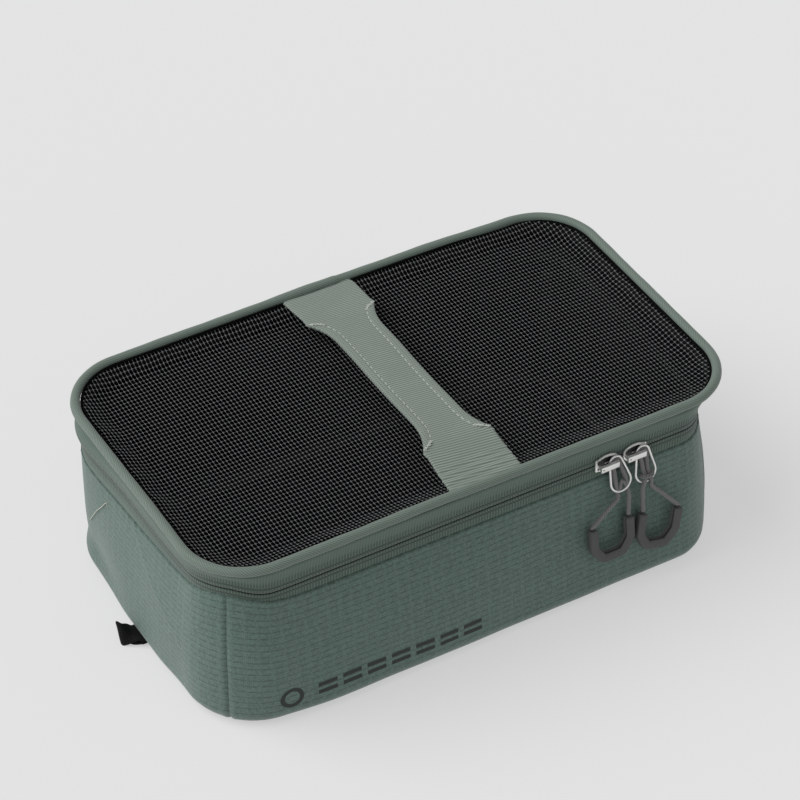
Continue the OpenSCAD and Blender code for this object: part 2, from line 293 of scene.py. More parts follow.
def dashes(centres, along, normal, length, width, height):
    """Stitches: a small rounded pillow for each centre. along and normal are its directions."""
    centres, along, normal = (np.asarray(v, float) for v in (centres, along, normal))
    along = unit(along)
    across = unit(np.cross(normal, along))
    normal = np.cross(along, across)
    a = np.linspace(0, 2 * math.pi, 6, endpoint=False)
    rings = [(-0.5, 0.25), (-0.3, 0.9), (0.3, 0.9), (0.5, 0.25)]
    pattern = np.array([(t, r * math.cos(q), r * math.sin(q)) for t, r in rings for q in a])
    points = (
        centres[:, None]
        + pattern[None, :, :1] * np.broadcast_to(length, len(centres))[:, None, None] * along[:, None]
        + pattern[None, :, 1:2] * width / 2 * across[:, None]
        + pattern[None, :, 2:3] * height / 2 * normal[:, None]
    )
    one = list(grid_faces(4, 6, close_cols=True, flip=True)) + [list(range(6)), list(range(18, 24))[::-1]]
    faces = [[int(v) + k * 24 for v in f] for k in range(len(centres)) for f in one]
    uv = np.tile(pattern[:, :2], (len(centres), 1))
    return points.reshape(-1, 3), faces, uv


def rounded_box(centre, size, radius):
    """Points, faces and uv of a box with softened edges, axes along X, Y and Z."""
    half = np.asarray(size, float) / 2
    points, faces = [], []
    for axis in range(3):
        for sign in (-1, 1):
            u, v = [i for i in range(3) if i != axis]
            inner = half - radius
            cu = np.array([-half[u], -inner[u], 0.0, inner[u], half[u]])
            cv = np.array([-half[v], -inner[v], 0.0, inner[v], half[v]])
            a, b = np.meshgrid(cu, cv, indexing="ij")
            p = np.zeros(a.shape + (3,))
            p[..., u], p[..., v], p[..., axis] = a, b, sign * half[axis]
            core = np.clip(p, -inner, inner)
            off = p - core
            length = np.linalg.norm(off, axis=-1, keepdims=True)
            p = core + off / np.maximum(length, 1e-9) * radius
            flip = (sign > 0) == (axis == 1)
            faces += list(grid_faces(len(cu), len(cv), sum(map(len, points)), flip=flip))
            points.append(p.reshape(-1, 3))
    points = np.vstack(points) + np.asarray(centre, float)
    return points, faces, points[:, [0, 2]]


# ---------- materials ----------


def srgb(*rgb):
    return tuple(c / 12.92 if c <= 0.04045 else ((c + 0.055) / 1.055) ** 2.4
                 for c in (v / 255 for v in rgb))


class Value:
    """A number in a material's node tree, so that a pattern reads as ordinary arithmetic."""

    def __init__(self, tree, socket):
        self.tree, self.socket = tree, socket

    def _math(self, operation, *values):
        node = self.tree.nodes.new("ShaderNodeMath")
        node.operation = operation
        for place, value in zip(node.inputs, (self, *values)):
            if isinstance(value, Value):
                self.tree.links.new(value.socket, place)
            else:
                place.default_value = value
        return Value(self.tree, node.outputs[0])

    def __add__(self, other):
        return self._math("ADD", other)

    def __sub__(self, other):
        return self._math("SUBTRACT", other)

    def __mul__(self, other):
        return self._math("MULTIPLY", other)

    def __truediv__(self, other):
        return self._math("DIVIDE", other)

    def floor(self):
        return self._math("FLOOR")

    def fract(self):
        return self._math("FRACT")

    def sin(self):
        return self._math("SINE")

    def abs(self):
        return self._math("ABSOLUTE")

    def most(self, other):
        return self._math("MAXIMUM", other)

    def least(self, other):
        return self._math("MINIMUM", other)

    def triangle(self, period):
        """0 to 1 and back to 0 over a period."""
        return ((self / period).fract() * 2 - 1).abs() * -1 + 1

    def wave(self, period):
        """Sine from 0 to 1."""
        return (self * (2 * math.pi / period)).sin() * 0.5 + 0.5

    def near(self, full, none):
        """1 where the number is at most full, falling smoothly to 0 at none."""
        node = self.tree.nodes.new("ShaderNodeMapRange")
        node.interpolation_type = "SMOOTHSTEP"
        self.tree.links.new(self.socket, node.inputs["Value"])
        node.inputs["From Min"].default_value = full
        node.inputs["From Max"].default_value = none
        node.inputs["To Min"].default_value = 1
        node.inputs["To Max"].default_value = 0
        return Value(self.tree, node.outputs["Result"])


class Finish:
    """A Principled material built from Values."""

    def __init__(self, name, roughness=0.8, metallic=0.0, sheen=0.0, specular=0.3):
        self.material = bpy.data.materials.new(name)
        self.material.use_nodes = True
        self.tree = self.material.node_tree
        self.shader = self.tree.nodes["Principled BSDF"]
        self.shader.inputs["Roughness"].default_value = roughness
        self.shader.inputs["Metallic"].default_value = metallic
        self.shader.inputs["Sheen Weight"].default_value = sheen
        self.shader.inputs["Specular IOR Level"].default_value = specular

    def cloth(self):
        """The piece's own millimetres: along, across."""
        node = self.tree.nodes.new("ShaderNodeUVMap")
        node.uv_map = "Cloth"
        split = self.tree.nodes.new("ShaderNodeSeparateXYZ")
        self.tree.links.new(node.outputs["UV"], split.inputs[0])
        return Value(self.tree, split.outputs[0]), Value(self.tree, split.outputs[1])

    def noise(self, scale, detail=3.0, stretch=(1, 1, 1)):
        """Noise over the object's own space, about 0 to 1. scale is per millimetre."""
        where = self.tree.nodes.new("ShaderNodeTexCoord")
        grow = self.tree.nodes.new("ShaderNodeMapping")
        grow.inputs["Scale"].default_value = [v * scale / MM for v in stretch]
        self.tree.links.new(where.outputs["Object"], grow.inputs["Vector"])
        node = self.tree.nodes.new("ShaderNodeTexNoise")
        node.inputs["Scale"].default_value = 1
        node.inputs["Detail"].default_value = detail
        self.tree.links.new(grow.outputs[0], node.inputs["Vector"])
        return Value(self.tree, node.outputs[0])

    def attribute(self, name):
        node = self.tree.nodes.new("ShaderNodeAttribute")
        node.attribute_name = name
        return Value(self.tree, node.outputs["Fac"])

    def mix(self, share, a, b):
        """Colour a where share is 0 and b where it is 1. A colour is a tuple or an earlier mix."""
        node = self.tree.nodes.new("ShaderNodeMix")
        node.data_type = "RGBA"
        self.tree.links.new(share.socket, node.inputs[0])
        for place, colour in ((node.inputs[6], a), (node.inputs[7], b)):
            if isinstance(colour, tuple):
                place.default_value = (*colour, 1)
            else:
                self.tree.links.new(colour, place)
        return node.outputs[2]

    def colour(self, colour):
        if isinstance(colour, tuple):
            self.shader.inputs["Base Color"].default_value = (*colour, 1)
        else:
            self.tree.links.new(colour, self.shader.inputs["Base Color"])
        return self

    def relief(self, height, millimetres, strength=1.0):
        node = self.tree.nodes.new("ShaderNodeBump")
        node.inputs["Strength"].default_value = strength
        node.inputs["Distance"].default_value = millimetres * MM
        self.tree.links.new(height.socket, node.inputs["Height"])
        self.tree.links.new(node.outputs[0], self.shader.inputs["Normal"])
        return self.material

    def rough(self, value):
        self.tree.links.new(value.socket, self.shader.inputs["Roughness"])
        return self


def scaled(colour, by):
    return tuple(c * by for c in colour)


GREEN = srgb(84, 107, 98)
TAPE_GREEN = srgb(86, 103, 94)
PIPING_GREEN = srgb(105, 119, 110)
WEBBING_GREEN = srgb(124, 134, 126)


def speckled(name, dark, light, spots, grain, depth, **finish):
    """Two close colours in soft spots under a fine grain. spots and grain are a noise's scale, detail."""
    m = Finish(name, **finish)
    m.colour(m.mix(m.noise(*spots), dark, light))
    return m.relief(m.noise(*grain), depth)


def wall_fabric():
    """Ripstop: columns of mirrored zigzags make hexagons, with a dotted dash across each widest row."""
    m = Finish("wall_fabric", roughness=0.62, sheen=0.25, specular=0.35)
    u, v = m.cloth()
    pitch, period, swing = 6.35, 6.9, 1.8
    column = (u / pitch + 0.5).floor()
    odd = (column / 2).fract() * 2
    zigzag = (v.triangle(period) - 0.5) * swing
    shift = zigzag * (odd * -2 + 1)
    line = (u - column * pitch - shift).abs().near(0.08, 0.36)
    cell = (u / pitch).floor()
    cell_odd = (cell / 2).fract() * 2
    row = ((v / period * 2 + 0.5).fract() - 0.5).abs() * (period / 2)
    widest = ((v / period + cell_odd * 0.5 + 0.25).fract() - 0.5).abs().near(0.2, 0.3)
    middle = ((u / pitch).fract() - 0.5).abs() * pitch
    reach = middle.near(1.9, 2.3).most(widest * middle.near(3.4, 3.9))
    dots = u.wave(0.95).near(0.35, 0.8) * -1 + 1
    dash = row.near(0.16, 0.5) * reach * (dots * 0.6 + 0.4)
    weave = (u.wave(0.9) + v.wave(1.1)) * 0.5
    patches = m.noise(0.035, 2)
    grain = m.noise(0.75, 3)
    base = m.mix(grain.near(0.62, 0.4) * 0.75, scaled(GREEN, 1.16), scaled(GREEN, 0.66))
    base = m.mix(patches.near(0.7, 0.3) * 0.15, base, scaled(GREEN, 1.3))
    base = m.mix(weave * 0.4, base, scaled(GREEN, 0.72))
    base = m.mix(line * 0.22, base, scaled(GREEN, 1.6))
    m.colour(m.mix(dash * 0.8, base, scaled(GREEN, 0.3)))
    return m.relief(weave * 0.35 + line * 0.6 - dash * 0.8 + grain * 0.3, 0.16, 0.8)


def coated_back_and_shade():
    # The inside faces: the fabric's coated back, painted near-black as the shade inside the closed cube.
    dark, light = srgb(5, 5, 6), srgb(9, 9, 10)
    return speckled("coated_back_painted_shade", dark, light, (0.3, 3), (1.2, 3), 0.05, roughness=0.9, specular=0.05)


def zipper_tape():
    """Woven tape over a coil: ribs across it, stitches along the slit, painted shade at the slit's edges
    and a painted shadow band at the top, under the piping.
    """
    m = Finish("zipper_tape", roughness=0.75, sheen=0.2, specular=0.25)
    u, v = m.cloth()
    from_slit = v.abs()
    ribs = u.wave(1.6)
    over_coil = from_slit.near(5.5, 8.0)
    fine = (u + v * 0.5).wave(0.8)
    stitch = ((from_slit - 2.6).abs().near(0.35, 0.8)) * (u.wave(1.6).near(0.4, 0.8))
    # Painted shade: the tape darkens within a millimetre of the slit.
    edge = from_slit.near(0.4, 1.1)
    grain = m.noise(1.3, 2)
    base = m.mix(ribs * (over_coil * 0.55 + 0.35), scaled(TAPE_GREEN, 1.2), scaled(TAPE_GREEN, 0.42))
    base = m.mix(grain * 0.4, base, scaled(TAPE_GREEN, 0.8))
    base = m.mix(stitch * 0.85, base, scaled(TAPE_GREEN, 0.22))
    # Painted shadow: a dark band at the top of the tape, under the piping.
    base = m.mix(v.near(14.2, 15.4), scaled(TAPE_GREEN, 0.12), base)
    m.colour(m.mix(edge * 0.5, base, scaled(TAPE_GREEN, 0.35)))
    return m.relief(fine * 0.25 - ribs * (over_coil * 0.7 + 0.2) - stitch * 0.9, 0.28, 0.8)


def zipper_coil():
    dark, light = srgb(22, 27, 24), srgb(30, 35, 32)
    return speckled("zipper_coil", dark, light, (0.5, 3), (2.0, 3), 0.02, roughness=0.4, specular=0.4)


def piping_fabric():
    """Twill wrapped over a cord: fine diagonal lines."""
    m = Finish("piping_fabric", roughness=0.6, sheen=0.3, specular=0.3)
    u, v = m.cloth()
    twill = (u + v * 1.1).wave(1.6)
    grain = m.noise(1.2, 2)
    base = m.mix(twill * 0.8, scaled(PIPING_GREEN, 1.2), scaled(PIPING_GREEN, 0.5))
    m.colour(m.mix(grain * 0.4, base, scaled(PIPING_GREEN, 0.84)))
    return m.relief(twill * 0.5 + grain * 0.5, 0.14, 0.7)


def mesh_yarn():
    m = Finish("mesh_yarn", roughness=0.5, specular=0.4)
    knot = m.attribute("knot")
    # The light colour at the knots is a painted glint on near-black yarn.
    m.colour(m.mix(knot, srgb(9, 9, 9), srgb(132, 135, 136)))
    return m.relief(m.noise(3.0), 0.03)


def handle_webbing():
    """Webbing: fine ribs across it; the folded-under borders show a coarser weave."""
    m = Finish("handle_webbing", roughness=0.72, sheen=0.25, specular=0.25)
    u, v = m.cloth()
    fold = m.attribute("fold")
    ribs = (v + u * 0.12).wave(1.5)
    cross = u.wave(1.5)
    checks = ribs * cross
    grain = m.noise(1.1, 2)
    soft = m.noise(0.08, 2)
    plain = m.mix(ribs * 0.9, scaled(WEBBING_GREEN, 1.5), scaled(WEBBING_GREEN, 0.36))
    border = m.mix(checks, scaled(WEBBING_GREEN, 1.25), scaled(WEBBING_GREEN, 0.3))
    base = m.mix(fold * 0.75, plain, border)
    base = m.mix(grain * 0.35, base, scaled(WEBBING_GREEN, 0.85))
    m.colour(m.mix(soft.near(0.55, 0.35) * 0.35, base, scaled(WEBBING_GREEN, 0.85)))
    return m.relief(ribs * 0.6 + checks * fold * -0.8 + grain * 0.3, 0.22, 0.8)


def yarn(name, dark, light):
    return speckled(name, dark, light, (1.5, 2), (4.0, 2), 0.06, roughness=0.6, sheen=0.3)


def metal(name, dark, light, roughness):
    m = Finish(name, roughness=roughness, metallic=0.8, specular=0.6)
    mottled = m.noise(0.7, 3)
    m.colour(m.mix(mottled, dark, light))
    m.rough(mottled * 0.15 + (roughness - 0.07))
    return m.relief(m.noise(1.3, 2), 0.03)


def pull_cord():
    """Braid: two crossing sets of diagonal strands."""
    m = Finish("pull_cord", roughness=0.75, sheen=0.15)
    u, v = m.cloth()
    one = (u + v * 1.2).wave(1.5)
    other = (u - v * 1.2).wave(1.5)
    braid = one.most(other)
    m.colour(m.mix(braid, srgb(74, 73, 74), srgb(124, 122, 122)))
    return m.relief(braid, 0.18, 0.8)


def grip_rubber():
    dark, light = srgb(73, 73, 74), srgb(82, 82, 83)
    return speckled("grip_rubber", dark, light, (0.25, 2), (2.6, 3), 0.04, roughness=0.62, specular=0.35)


def black_webbing():
    m = Finish("black_webbing", roughness=0.85, sheen=0.03, specular=0.15)
    u, v = m.cloth()
    weave = u.wave(1.1) * v.wave(1.4)
    m.colour(m.mix(weave, srgb(8, 8, 9), srgb(30, 31, 32)))
    return m.relief(weave, 0.2, 0.8)


def black_binding():
    dark, light = srgb(6, 6, 7), srgb(11, 11, 12)
    return speckled("black_binding", dark, light, (0.8, 3), (1.5, 3), 0.06, roughness=0.8)


def dark_print():
    dark, light = srgb(38, 43, 41), srgb(50, 56, 53)
    return speckled("dark_print", dark, light, (0.8, 3), (1.4, 2), 0.04, roughness=0.55, specular=0.25)


# ---------- body ----------

# A soft crease down the left wall
CREASE_Y = (-48.0, -44.0, -33.0, -20.3, -9.6, 3.7)
CREASE_Z = (33.0, 37.5, 41.6, 49.2, 57.3, 69.4)

# How far the walls leave the plain box, in millimetres
HEM_OUT = 0.4           # the fabric's upper edge, outward from the tape under it
FRONT_BELLY = 1.6
FRONT_FOOT_OUT = 3.6
CORNER_FOOT_IN = 2.0    # at the front left corner
BACK_LEFT_HOLLOW = 3.6
SLIT_CLIMB, SLIT_SINK = 5.5, 1.4
RIGHT_TUCK = 5.4


def round_wave(s, count, shift=0.0):
    """A sine with a whole number of waves round the rim, so that it meets itself."""
    return np.sin(np.asarray(s, float) * 2 * math.pi * count / ROUND + shift)


def corner_rise(s, left_width, front_width):
    """1 at the front left corner, falling off along the left side and along the front."""
    s = np.asarray(s, float) % ROUND
    return bump(s, FRONT_LEFT, np.where(s < FRONT_LEFT, left_width, front_width))


def slit_height(s):
    """The zipper climbs at the front left corner and sinks a little at the front right one."""
    s = np.asarray(s, float) % ROUND
    sink = smooth(s, FRONT_END, FRONT_END + 30) * (1 - smooth(s, STARTS[6], STARTS[6] + 40))
    return SLIT_H + SLIT_CLIMB * corner_rise(s, 32, 16) - SLIT_SINK * sink


def wall_top(s):
    """Height of the fabric's upper edge: it climbs with the zipper at the front left corner."""
    s = np.asarray(s, float) % ROUND
    side = smooth(s, 150, 180) * (1 - smooth(s, 205, 250))
    return WALL_TOP + 9.0 * corner_rise(s, 33, 23) - 3.0 * side + 0.4 * round_wave(s, 3)


def right_tuck(s):
    """How far the right side stands in under the rim."""
    s = np.asarray(s, float) % ROUND
    return RIGHT_TUCK * smooth(s, 562, 595) * (1 - smooth(s, 740, 790))


def wall_place(s, t):
    """Outward offset and height on the wall's outer face; t is the way up from the flat base, 0 to 1."""
    s, t = np.broadcast_arrays(np.asarray(s, float) % ROUND, np.asarray(t, float))
    d = t * WALL_LENGTH
    angle = -math.pi / 2 + np.minimum(d, ROLL) / FOOT_R
    up = np.clip((d - ROLL) / (WALL_TOP - FOOT_R), 0, 1)
    z = np.where(d < ROLL, FOOT_R + FOOT_R * np.sin(angle), FOOT_R + up * (wall_top(s) - FOOT_R))
    o = BELLY - FOOT_R + FOOT_R * np.cos(angle)
    o = o - (BELLY - ZIP_O - HEM_OUT) * up**2
    middle = np.sin(math.pi * np.clip(z / WALL_TOP, 0, 1))
    front = smooth(s, FRONT_LEFT, FRONT_START + 90) * (1 - smooth(s, 425, 490))
    o = o + FRONT_BELLY * front * middle
    back_left = smooth(s, 80, 140) * (1 - smooth(s, 165, 215))
    hollow = BACK_LEFT_HOLLOW * (1 - up) ** 0.8 * smooth(up, -0.05, 0.2)
    o = o + back_left * (2.0 * up**2 - hollow - 2.0 * (1 - up) ** 3) - right_tuck(s) * (0.8 + 0.2 * up)
    low = 1 - np.clip(z / WALL_TOP, 0, 1)
    o = o + FRONT_FOOT_OUT * smooth(s, 316, 362) * (1 - smooth(s, 555, 600)) * low**2.2
    o = o - CORNER_FOOT_IN * smooth(s, 245, 275) * (1 - smooth(s, 296, 326)) * low
    calm = np.sin(math.pi * np.clip(t, 0, 1)) ** 0.6
    waves = (
        0.35 * round_wave(s, 6, 1.3) * np.sin(z / 19.0)
        + 0.22 * round_wave(s, 13, z / 14.0)
        + 0.12 * round_wave(s, 27, -z / 8.0)
    )
    pucker = 0.16 * round_wave(s, 119, round_wave(s, 8)) * smooth(up, 0.86, 1.0)
    fold_at = STARTS[2] + HALF_W - np.interp(z, CREASE_Z, CREASE_Y)
    crease = -0.5 * bump(z, 4.2, 0.9) + 0.45 * bump(s, fold_at, 1.1) * smooth(z, 30, 40)
    return o + waves * calm + pucker + crease, z


def wall_share(z):
    """The way up the wall, 0 to 1, to a height above the rounded foot."""
    return (ROLL + z - FOOT_R) / WALL_LENGTH


def along_wall(s, t, out):
    """Points just outside the wall, with the outward and the level direction at each."""
    o, z = wall_place(s, t)
    x, y, nx, ny = rim_point(s, o + out)
    flat = 0 * nx
    return np.stack([x, y, z], -1), np.stack([nx, ny, flat], -1), np.stack([-ny, nx, flat], -1)


def seam_dip(s, ends):
    """How far a panel's face turns in at its vertical seams."""
    near = np.minimum(np.abs(s - ends[0]), np.abs(s - ends[1]))
    return 0.75 * np.exp(-((near / 0.8) ** 2)) - 0.25 * np.exp(-(((near - 2.6) / 1.2) ** 2))


def wall_grid(ends, inset=0.0, low=0.0, high=1.0, step=2.0):
    count = int((ends[1] - ends[0]) / step)
    edge = np.array([0, 0.35, 0.8, 1.4, 2.2])
    s = np.r_[ends[0] + edge, np.linspace(ends[0] + 3.4, ends[1] - 3.4, count), ends[1] - edge[::-1]]
    t = np.linspace(low, high, int(80 * (high - low) / step * 1.2) + 2)
    s, t = np.meshgrid(s, t, indexing="ij")
    o, z = wall_place(s, t)
    o = o - seam_dip(s, ends)
    roll = np.clip(1 - z / FOOT_R, 0, 1)
    points = on_rim(s, o - inset * (1 - roll), z + inset * roll)
    return points, np.stack([s, t * (WALL_TOP + 4.6)], -1)


def build_walls(materials):
    panels = {
        "left": (BACK_LEFT, FRONT_LEFT),
        "front": (FRONT_LEFT, FRONT_RIGHT),
        "right": (FRONT_RIGHT, BACK_RIGHT),
        "back": (BACK_RIGHT, ROUND + BACK_LEFT),
    }
    for name, ends in panels.items():
        outer, uv = wall_grid(ends)
        inner, _ = wall_grid(ends, inset=WALL_T)
        points, faces, uv, side = shell(outer, inner, uv)
        rows, cols = outer.shape[:2]
        side[2 * (rows - 1) * (cols - 1):] = 0
        obj = make(f"{name}_wall", points, faces, materials, "body", uv, side)
        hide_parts(f"{name}_panel")


def build_base(materials):
    s = np.linspace(0, ROUND, 240, endpoint=False)
    edge, _ = wall_place(s, 0.0)
    rings = [0.0, 0.15, 0.4, 0.7, 0.98]
    layers = []
    for height in (0.0, WALL_T):
        for shrink in rings:
            p = on_rim(s, edge, height)
            p[:, 0] *= 1 - shrink
            p[:, 1] *= 1 - shrink
            layers.append(p)
    points = np.vstack(layers)
    n, half = len(s), len(rings)
    faces, side = [], []
    for first in (0, half):
        part = grid_faces(half, n, first * n, close_cols=True, flip=first != 0)
        faces += list(part)
        side += [int(first != 0)] * len(part)
        last = list(range((first + half - 1) * n, (first + half) * n))
        faces.append(last[::-1] if first == 0 else last)
        side.append(int(first != 0))
    join_edge = [[i, (i + 1) % n, half * n + (i + 1) % n, half * n + i] for i in range(n)]
    faces += join_edge
    side += [0] * n
    obj = make("base_fabric", points, faces, materials, "body", points[:, :2], side)
    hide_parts("bottom_panel")


def build_inner_bindings(material):
    """Black binding over the seams inside: round the base, and up each corner."""
    s = np.linspace(0, ROUND, 300, endpoint=False)
    edge, _ = wall_place(s, 0.0)
    section = [(-0.4, 0.9), (-8, 0.9), (-8, 1.7), (-0.4, 1.7)]
    grid = np.stack([on_rim(s, edge + o, z) for o, z in section], 1)
    faces = grid_faces(len(s), 4, close_rows=True, close_cols=True)
    uv = crossed(s, np.arange(4)).reshape(-1, 2)
    obj = make("base_binding", grid.reshape(-1, 3), faces, [material], "body", uv)
    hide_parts("bottom_seam_binding")
    corners = {
        "back_left": BACK_LEFT, "front_left": FRONT_LEFT,
        "front_right": FRONT_RIGHT, "back_right": BACK_RIGHT,
    }
    for name, middle in corners.items():
        s, t = np.meshgrid(np.linspace(-4, 4, 9) + middle, np.linspace(0.2, 0.97, 30), indexing="ij")
        o, z = wall_place(s, t)
        outer, inner = on_rim(s, o - 1.7, z), on_rim(s, o - 2.4, z)
        points, faces, uv, _ = shell(outer, inner, np.stack([s, z], -1))
        obj = make(f"corner_binding_{name}", points, faces, [material], "body", uv)
        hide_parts(f"seam_binding_{name}")


def build_body_stitches(material):
    """Stitches along the fabric's upper edge."""
    s = np.arange(ZIP_FROM, ZIP_TO, 2.6)
    centres, normal, along = along_wall(s, 0.985, 0.05)
    obj = make("hem_stitches", *dashes(centres, along, normal, 1.9, 0.4, 0.3)[:2], [material], "body")


def build_print(material):
    """A plain generic print low on the front: a hollow ring and broken stripes."""

    def patch(xs, zs):
        """A grid of x and z laid just over the front wall."""
        s = FRONT_START + HALF_L + xs
        up = (zs - FOOT_R) / (wall_top(s) - FOOT_R)
        t = (ROLL + np.clip(up, -0.1, 1) * (WALL_TOP - FOOT_R)) / WALL_LENGTH
        o, z = wall_place(s, t)
        return on_rim(s, o + 0.09, z)

    parts = []
    angle, radius = np.meshgrid(np.linspace(0, 2 * math.pi, 49), [4.0, 5.0, 6.2], indexing="ij")
    ring = patch(-112 + radius * np.cos(angle), 15.2 + radius * np.sin(angle))
    parts.append((ring.reshape(-1, 3), list(grid_faces(49, 3, flip=True)), np.zeros((147, 2))))
    dash, gap, first = 10.4, 3.3, -98.0
    for k in range(7):
        for low, high in ((12.0, 14.4), (16.6, 19.0)):
            x0 = first + k * (dash + gap)
            xs, zs = np.meshgrid(np.linspace(x0, x0 + dash, 9), np.linspace(low, high, 4), indexing="ij")
            p = patch(xs, zs)
            parts.append((p.reshape(-1, 3), list(grid_faces(9, 4)), np.zeros((36, 2))))
    points, faces, uv = join(parts)
    make("front_print", points, faces, [material], "body", uv)


def build_crease(material):
    """Light thread dashes along the soft crease down the left wall."""
    z = np.arange(CREASE_Z[0] - 12, CREASE_Z[-1], 1.9)
    s = STARTS[2] + HALF_W - np.interp(z, CREASE_Z, CREASE_Y)
    centres, normal, _ = along_wall(s, wall_share(z), 0.05)
    length = 0.9 + 0.7 * np.sin(np.arange(len(z)) * 2.3)
    points, faces, _ = dashes(centres, np.gradient(centres, axis=0), normal, length, 0.3, 0.25)
    make("crease_threads", points, faces, [material], "body")


def build_thread_tail(material):
    """A loose end of sewing thread on the left wall."""
    ys = np.array([32.4, 33.2, 38.0, 43.5, 49.0, 54.0])
    zs = np.array([65.0, 66.3, 59.5, 52.5, 44.0, 37.0])
    s = STARTS[2] + HALF_W - ys
    o, z = wall_place(s, wall_share(zs))
    line = curve_through(on_rim(s, o + np.array([0.1, 0.5, 0.6, 0.6, 0.6, 0.3]), z), 1.0)
    points, faces, uv = tube(line, 0.22, 6)
    make("loose_thread", points, faces, [material], "body", uv)


# ---------- zipper and lid ----------


def side_bulge(s, z):
    """How far the gusset stands further out along the left side and round the back left corner."""
    s = np.asarray(s, float) % ROUND
    where = smooth(s, 95, 135) * (1 - smooth(s, 265, 300)) * (1.6 + 1.0 * bump(s, 150, 45))
    corner = 2.0 * smooth(s, 80, 140) * (1 - smooth(s, 165, 215)) * (1 - smooth(z, 88, 98))
    return where * np.sin(math.pi * np.clip((z - SLIT_H) / 12.5, 0, 1)) ** 0.6 + corner


def rim_drop(x):
    """The lid sinks a little towards the right end."""
    return 1.2 * smooth(x, 60, 152)


def ribbon_place(s, o, z):
    """A point of the zipper strips: heights shift with the slit, and less and less towards the piping."""
    share = 1 - smooth(z, SLIT_H + 3, RIM_H - 3)
    lifted = z + (slit_height(s) - SLIT_H) * share
    points = on_rim(s, o + side_bulge(s, z) - right_tuck(s) * share, lifted)
    points[..., 2] -= rim_drop(points[..., 0]) * (1 - share)
    return points


def ribbon_shell(s, profile, thickness):
    """A strip along the rim line: profile is [(o, z), ...] up its outer face."""
    profile = np.asarray(profile, float)
    run = np.diff(profile, axis=0)
    normal = unit(np.stack([run[:, 1], -run[:, 0]], -1))
    normal = np.vstack([normal[:1], (normal[1:] + normal[:-1]) / 2, normal[-1:]])
    back = profile - normal * thickness
    outer = np.stack([ribbon_place(s, o, z) for o, z in profile], 1)
    inner = np.stack([ribbon_place(s, o, z) for o, z in back], 1)
    d = np.r_[0, np.cumsum(np.linalg.norm(run, axis=1))]
    return outer, inner, crossed(s, d)


def fine(profile, step=1.2):
    p = np.column_stack([np.asarray(profile, float), np.zeros(len(profile))])
    return resample(p, step)[:, :2]


GUSSET = [
    (ZIP_O, SLIT_H + SLIT_HALF), (ZIP_O, 87.0), (ZIP_O + 0.15, 90.0),
    (-2.5, 93.6), (-1.8, 96.4), (-1.9, 97.8), (-3.0, 98.9), (-3.9, 100.3), (-3.6, 102.0), (-2.5, 103.4),
]


def build_zipper(tape, coated_inside_shade, coil):
    """The two tapes either side of the slit and the coil behind each."""
    s = np.arange(ZIP_FROM, ZIP_TO + 0.1, 2.0)
    low = [(ZIP_O, 69.0), (ZIP_O, SLIT_H - SLIT_HALF)]
    strips = (
        ("lower_tape", fine(low), "lower_zipper_tape", "body", True),
        ("upper_tape", fine(GUSSET), "upper_zipper_tape", "lid", False),
    )
    for name, profile, node, body, below in strips:
        outer, inner, uv = ribbon_shell(s, profile, TAPE_T)
        if below:
            uv = uv - np.array([0, uv[0, -1, 1]])
        points, faces, uv, inside = shell(outer, inner, uv)
        obj = make(name, points, faces, [tape, coated_inside_shade], body, uv, inside)
        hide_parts(node)
    pitch, wire, turns = 1.6, 0.28, 10
    a = np.arange(0, (ZIP_TO - ZIP_FROM) / pitch * turns) / turns
    for name, node, body, z in (
        ("lower_coil", "lower_zipper_coil", "body", SLIT_H - 1.4),
        ("upper_coil", "upper_zipper_coil", "lid", SLIT_H + 1.4),
    ):
        swing, rise = 0.5 * np.cos(2 * math.pi * a), 0.52 * np.sin(2 * math.pi * a)
        line = ribbon_place(ZIP_FROM + a * pitch, -5.0 + swing, z + rise)
        points, faces, uv = tube(line, wire, 4)
        obj = make(name, points, faces, [coil], body, uv)
        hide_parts(node)


def build_back_hinge(fabric, coated_inside_shade):
    """The strip of fabric across the back that the lid folds on."""
    s = np.linspace(ZIP_TO, ROUND + ZIP_FROM, 150)
    profile = fine([(ZIP_O, 74.0), (ZIP_O, SLIT_H), *GUSSET[1:]], 1.0)
    outer, inner, uv = ribbon_shell(s, profile, TAPE_T)
    points, faces, uv, inside = shell(outer, inner, uv)
    obj = make("hinge_fabric", points, faces, [fabric, coated_inside_shade], None, uv, inside)
    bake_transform(obj)
    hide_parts("hinge_strip_lower", "hinge_strip_upper")


def build_piping(fabric, filler):
    """Piping with its lapped ends by the handle at the back, slightly wavy where it is sewn."""
    s = np.linspace(0, ROUND, 720, endpoint=False)
    lap_at = ROUND - 13.0
    gap = s - lap_at
    past = np.where(gap > 0, gap, gap + ROUND)
    fat = 0.32 * (1 - smooth(past, 14, 46)) * smooth(past, 0, 0.9)
    radius = PIPING_R - 0.12 + fat + 0.05 * round_wave(s, 23) + 0.04 * round_wave(s, 52)
    height = RIM_H + 0.22 * round_wave(s, 5) + 0.15 * round_wave(s, 11, 1)
    outward = 0.18 * round_wave(s, 5, 2) - 1.3 * bump(s, 776, 34)
    a = np.linspace(0, 2 * math.pi, 20, endpoint=False)
    faces = grid_faces(len(s), 20, close_rows=True, close_cols=True, flip=True)
    uv = crossed(s, a * PIPING_R).reshape(-1, 2)
    pieces = (
        ("piping", "piping_cover", "piping_fabric", radius, fabric),
        ("piping_filler", "piping_cord", "piping_core", np.full(len(s), 1.7), filler),
    )
    for name, node, slot, thickness, material in pieces:
        grid = on_rim(
            np.repeat(s[:, None], 20, 1),
            outward[:, None] + thickness[:, None] * np.cos(a)[None],
            height[:, None] + thickness[:, None] * np.sin(a)[None],
        )
        grid[..., 2] -= rim_drop(grid[..., 0])
        obj = make(name, grid.reshape(-1, 3), faces, [material], "lid", uv)
        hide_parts(node)


